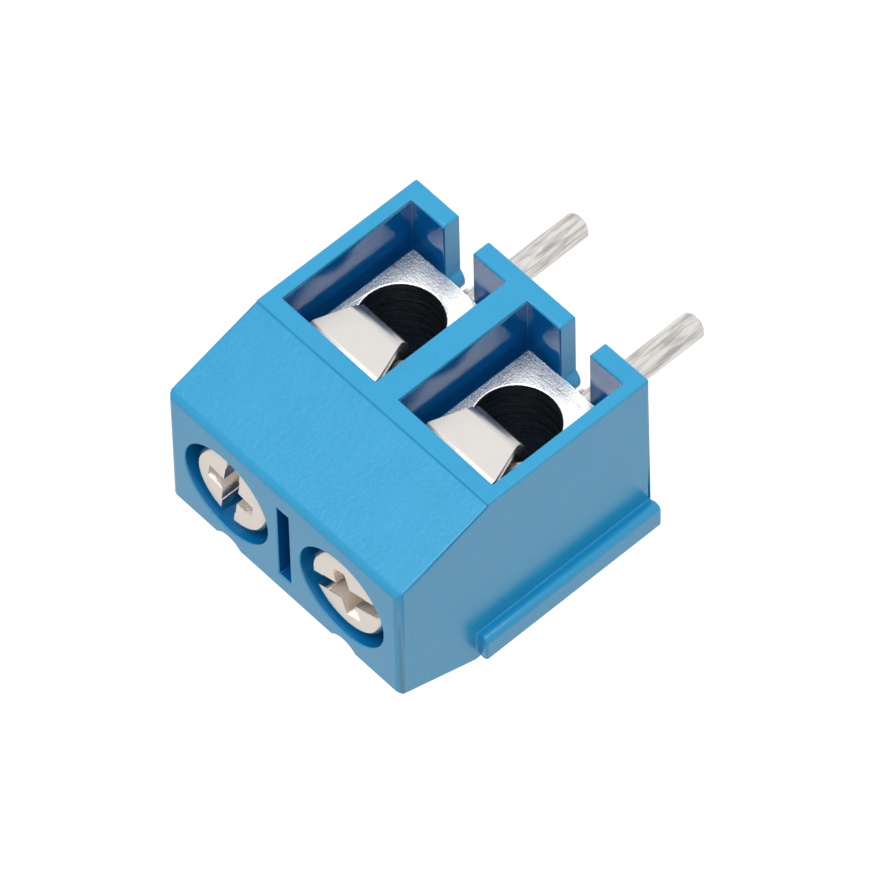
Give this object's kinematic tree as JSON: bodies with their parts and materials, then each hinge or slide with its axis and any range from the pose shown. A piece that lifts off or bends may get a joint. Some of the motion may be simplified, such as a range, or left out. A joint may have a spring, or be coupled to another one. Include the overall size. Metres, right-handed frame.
{
  "type": "pcb screw terminal",
  "caption": "Blue screw terminal block for a circuit board, with wire mouths in front, clamp screws on top, metal clamp cages and round solder pins.",
  "frame": {"origin": "on the board face of the housing, midway between the two pins", "axes": "+Z out of the board towards the screw heads, -Y out of the wire mouths, +X to the right seen from the wire side"},
  "size_m": [0.0105, 0.0075, 0.0143],
  "materials": {
    "blue_plastic": "moulded, slightly glossy blue polyamide",
    "plated_cage": "bright tin plate over machined brass",
    "tinned_pin": "tinned, slightly uneven",
    "guard_strip": "bright rolled strip",
    "zinc_screw": "zinc plated"
  },
  "bodies": {
    "block": {"housing": "blue_plastic", "clamp_cage_1": "plated_cage", "clamp_cage_2": "plated_cage", "solder_pin_1": "tinned_pin", "solder_pin_2": "tinned_pin"},
    "guard_1": {"wire_guard_1": "guard_strip"},
    "screw_1": {"clamp_screw_1": "zinc_screw"},
    "guard_2": {"wire_guard_2": "guard_strip"},
    "screw_2": {"clamp_screw_2": "zinc_screw"}
  },
  "joints": [
    {"name": "guard_1_press", "type": "slide", "parent": "block", "child": "guard_1", "axis": [0, 0, -1], "range_m": [0, 0.0015], "deforming": ["wire_guard_1"]},
    {"name": "screw_1_turn", "type": "hinge", "parent": "guard_1", "child": "screw_1", "pos_m": [-0.0025, 0, 0.005], "axis": [0, 0, -1], "range_deg": [0, 1200]},
    {"name": "guard_2_press", "type": "slide", "parent": "block", "child": "guard_2", "axis": [0, 0, -1], "range_m": [0, 0.0015], "deforming": ["wire_guard_2"]},
    {"name": "screw_2_turn", "type": "hinge", "parent": "guard_2", "child": "screw_2", "pos_m": [0.0025, 0, 0.005], "axis": [0, 0, -1], "range_deg": [0, 1200]}
  ],
  "couplings": [
    {"joint": "screw_1_turn", "follows": "guard_1_press", "rad_per_m": 13960},
    {"joint": "screw_2_turn", "follows": "guard_2_press", "rad_per_m": 13960}
  ]
}
